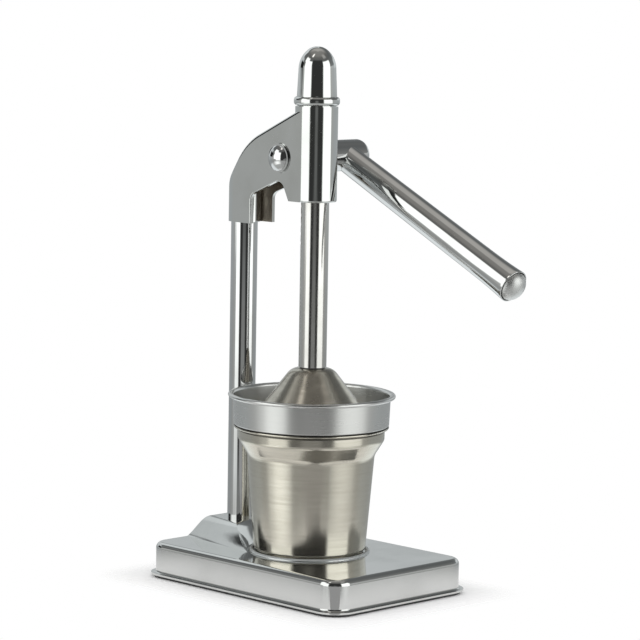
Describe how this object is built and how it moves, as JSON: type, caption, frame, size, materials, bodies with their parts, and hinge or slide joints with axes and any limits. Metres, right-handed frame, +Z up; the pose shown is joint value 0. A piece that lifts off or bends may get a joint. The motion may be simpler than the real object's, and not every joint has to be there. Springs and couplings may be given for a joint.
{
  "type": "citrus press juicer",
  "caption": "Hand lever citrus press: a rack and pinion head on a column drives a ram with a conical bell into a strainer bowl above a steel cup on a pressed base.",
  "frame": {"origin": "on the table, under the middle of the base", "axes": "+Z up along the column and the ram; the cup and the ram stand towards -Y of the column, and the lever is on +X"},
  "size_m": [0.1334, 0.2421, 0.3666],
  "materials": {
    "polished_base": "polished pressed steel",
    "foot_rubber": "matt black",
    "chrome_bar": "bright chrome on ground bar",
    "chrome_casting": "satin chrome on a die casting",
    "chrome_lever": "bright chrome",
    "bell_steel": "brushed round the axis",
    "bowl_steel": "satin",
    "cup_steel": "brushed round the axis",
    "strainer_steel": "bright rolled",
    "gear_steel": "machined and oiled",
    "fastener_zinc": "zinc plated",
    "bush_bronze": "sintered",
    "seat_nylon": "matt black"
  },
  "bodies": {
    "stand": {"base_shell": "polished_base", "foot_strip": "foot_rubber", "stiffener_plate": "fastener_zinc", "column": "chrome_bar", "column_bolt": "fastener_zinc", "column_washer": "fastener_zinc", "column_spring_washer": "fastener_zinc", "column_pin": "fastener_zinc", "head_casting": "chrome_casting", "shaft_bushes": "bush_bronze", "top_cap": "chrome_casting", "cup": "cup_steel", "strainer_bowl": "bowl_steel", "strainer_cone": "strainer_steel"},
    "lever": {"pinion_shaft": "gear_steel", "pinion": "gear_steel", "pinion_key": "gear_steel", "axle_washer": "chrome_lever", "axle_cap": "chrome_lever", "lever_hub": "chrome_lever", "hub_set_screw": "fastener_zinc", "lever_rod": "chrome_lever", "lever_end_cap": "chrome_lever"},
    "ram": {"ram": "chrome_bar", "bell_seat_washer": "seat_nylon", "press_bell": "bell_steel", "bell_washer": "fastener_zinc", "bell_screw": "fastener_zinc"}
  },
  "joints": [
    {"name": "lever_swing", "type": "hinge", "parent": "stand", "child": "lever", "pos_m": [0, 0.0185, 0.291], "axis": [-1, 0, 0], "range_deg": [0, 180]},
    {"name": "ram_slide", "type": "slide", "parent": "stand", "child": "ram", "axis": [0, 0, 1], "range_m": [0, 0.044]}
  ],
  "couplings": [
    {"joint": "ram_slide", "follows": "lever_swing", "m_per_rad": 0.014}
  ]
}
